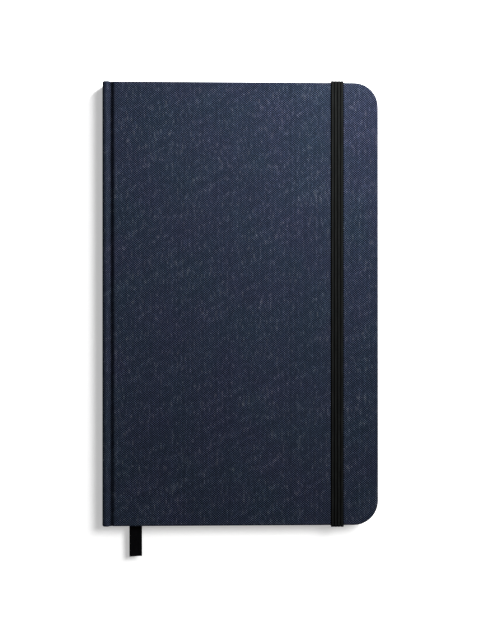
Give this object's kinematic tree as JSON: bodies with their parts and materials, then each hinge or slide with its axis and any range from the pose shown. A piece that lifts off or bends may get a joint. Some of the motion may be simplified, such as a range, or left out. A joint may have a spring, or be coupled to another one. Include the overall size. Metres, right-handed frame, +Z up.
{
  "type": "cloth-bound flight crew logbook",
  "caption": "Portrait hardcover pilot logbook in navy book cloth, with rounded fore-edge corners, a ribbed elastic closure band and a ribbon bookmark; it opens flat.",
  "frame": {"origin": "middle of the back cover's underside, which the closed book lies on", "axes": "+X from the spine to the fore-edge, +Y from tail to head, +Z up from the back cover to the front cover"},
  "size_m": [0.1306, 0.2259, 0.0168],
  "materials": {
    "cloth": "matt navy book cloth, plain weave with fine slubs",
    "board": "grey-brown binder's board",
    "endpaper": "uncoated ivory endpaper",
    "page": "uncoated ivory log pages",
    "lining": "spine lining paper",
    "gauze": "open weave gauze",
    "thread": "waxed linen thread",
    "band": "woven black headband",
    "ribbon": "black satin ribbon",
    "elastic": "black ribbed elastic"
  },
  "bodies": {
    "back_cover": {"back_board": "board", "back_cloth": "cloth", "back_pastedown": "endpaper", "back_flyleaf": "endpaper", "elastic_anchor_head": "elastic", "elastic_anchor_tail": "elastic"},
    "spine": {"spine_board": "board", "spine_cloth": "cloth", "spine_liner": "lining", "mull": "gauze", "sewing_thread": "thread", "headband": "band", "tailband": "band"},
    "front_joint": {"front_joint_cloth": "cloth", "front_flyleaf": "endpaper"},
    "front_cover": {"front_board": "board", "front_cloth": "cloth", "front_pastedown": "endpaper"},
    "elastic_sides": {"elastic_head": "elastic", "elastic_tail": "elastic"},
    "elastic_front": {"elastic_front": "elastic"},
    "ribbon_tail": {"ribbon_tail": "ribbon"},
    "leaves_01": {"section_01": "page"},
    "leaves_02": {"section_02": "page"},
    "leaves_03": {"section_03": "page"},
    "leaves_04": {"section_04": "page"},
    "leaves_05": {"section_05": "page"},
    "leaves_06": {"section_06": "page"},
    "leaves_07": {"section_07": "page", "bookmark_ribbon": "ribbon"},
    "leaves_08": {"section_08": "page"},
    "leaves_09": {"section_09": "page"},
    "leaves_10": {"section_10": "page"},
    "leaves_11": {"section_11": "page"},
    "leaves_12": {"section_12": "page"}
  },
  "joints": [
    {"name": "book_open", "type": "hinge", "parent": "back_cover", "child": "spine", "pos_m": [-0.06525, 0, 0], "axis": [0, -1, 0], "range_deg": [0, 90], "deforming": ["mull", "spine_liner", "sewing_thread", "headband", "tailband"]},
    {"name": "front_joint_fold", "type": "hinge", "parent": "spine", "child": "front_joint", "pos_m": [-0.06525, 0, 0.016], "axis": [0, -1, 0], "range_deg": [0, 90.1]},
    {"name": "front_cover_open", "type": "hinge", "parent": "front_joint", "child": "front_cover", "pos_m": [-0.06045, 0, 0.016], "axis": [0, 1, 0], "range_deg": [-178, 0]},
    {"name": "leaves_01_fan", "type": "slide", "parent": "front_joint", "child": "leaves_01", "axis": [-1, 0, 0], "range_m": [0, 0.00418]},
    {"name": "leaves_02_fan", "type": "slide", "parent": "front_joint", "child": "leaves_02", "axis": [-1, 0, 0], "range_m": [0, 0.00523]},
    {"name": "leaves_03_fan", "type": "slide", "parent": "front_joint", "child": "leaves_03", "axis": [-1, 0, 0], "range_m": [0, 0.00628]},
    {"name": "leaves_04_fan", "type": "slide", "parent": "front_joint", "child": "leaves_04", "axis": [-1, 0, 0], "range_m": [0, 0.00734]},
    {"name": "leaves_05_fan", "type": "slide", "parent": "front_joint", "child": "leaves_05", "axis": [-1, 0, 0], "range_m": [0, 0.00839]},
    {"name": "leaves_06_fan", "type": "slide", "parent": "front_joint", "child": "leaves_06", "axis": [-1, 0, 0], "range_m": [0, 0.00944]},
    {"name": "leaves_07_fan", "type": "slide", "parent": "back_cover", "child": "leaves_07", "axis": [-1, 0, 0], "range_m": [0, 0.00944]},
    {"name": "leaves_08_fan", "type": "slide", "parent": "back_cover", "child": "leaves_08", "axis": [-1, 0, 0], "range_m": [0, 0.00839]},
    {"name": "leaves_09_fan", "type": "slide", "parent": "back_cover", "child": "leaves_09", "axis": [-1, 0, 0], "range_m": [0, 0.00734]},
    {"name": "leaves_10_fan", "type": "slide", "parent": "back_cover", "child": "leaves_10", "axis": [-1, 0, 0], "range_m": [0, 0.00628]},
    {"name": "leaves_11_fan", "type": "slide", "parent": "back_cover", "child": "leaves_11", "axis": [-1, 0, 0], "range_m": [0, 0.00523]},
    {"name": "leaves_12_fan", "type": "slide", "parent": "back_cover", "child": "leaves_12", "axis": [-1, 0, 0], "range_m": [0, 0.00418]},
    {"name": "elastic_sides_settle", "type": "slide", "parent": "back_cover", "child": "elastic_sides", "axis": [0, 0, -1], "range_m": [0, 0.00792], "deforming": ["elastic_head", "elastic_tail"]},
    {"name": "elastic_pull_off", "type": "slide", "parent": "elastic_sides", "child": "elastic_front", "axis": [-1, 0, 0], "range_m": [-0.026, 0], "stiffness_N_per_m": 20, "deforming": ["elastic_front"]},
    {"name": "ribbon_tail_bend", "type": "hinge", "parent": "leaves_07", "child": "ribbon_tail", "pos_m": [-0.04965, -0.1052, 0.008], "axis": [1, 0, 0], "range_deg": [-80, 28], "stiffness_Nm_per_rad": 0.0001, "deforming": ["ribbon_tail"]}
  ],
  "couplings": [
    {"joint": "front_joint_fold", "follows": "book_open", "ratio": 1},
    {"joint": "leaves_01_fan", "follows": "book_open", "m_per_rad": 0.0026547},
    {"joint": "leaves_02_fan", "follows": "book_open", "m_per_rad": 0.0033232},
    {"joint": "leaves_03_fan", "follows": "book_open", "m_per_rad": 0.0039916},
    {"joint": "leaves_04_fan", "follows": "book_open", "m_per_rad": 0.0046601},
    {"joint": "leaves_05_fan", "follows": "book_open", "m_per_rad": 0.0053285},
    {"joint": "leaves_06_fan", "follows": "book_open", "m_per_rad": 0.005997},
    {"joint": "leaves_07_fan", "follows": "book_open", "m_per_rad": 0.005997},
    {"joint": "leaves_08_fan", "follows": "book_open", "m_per_rad": 0.0053285},
    {"joint": "leaves_09_fan", "follows": "book_open", "m_per_rad": 0.0046601},
    {"joint": "leaves_10_fan", "follows": "book_open", "m_per_rad": 0.0039916},
    {"joint": "leaves_11_fan", "follows": "book_open", "m_per_rad": 0.0033232},
    {"joint": "leaves_12_fan", "follows": "book_open", "m_per_rad": 0.0026547},
    {"joint": "elastic_sides_settle", "follows": "book_open", "m_per_rad": 0.0050293}
  ]
}
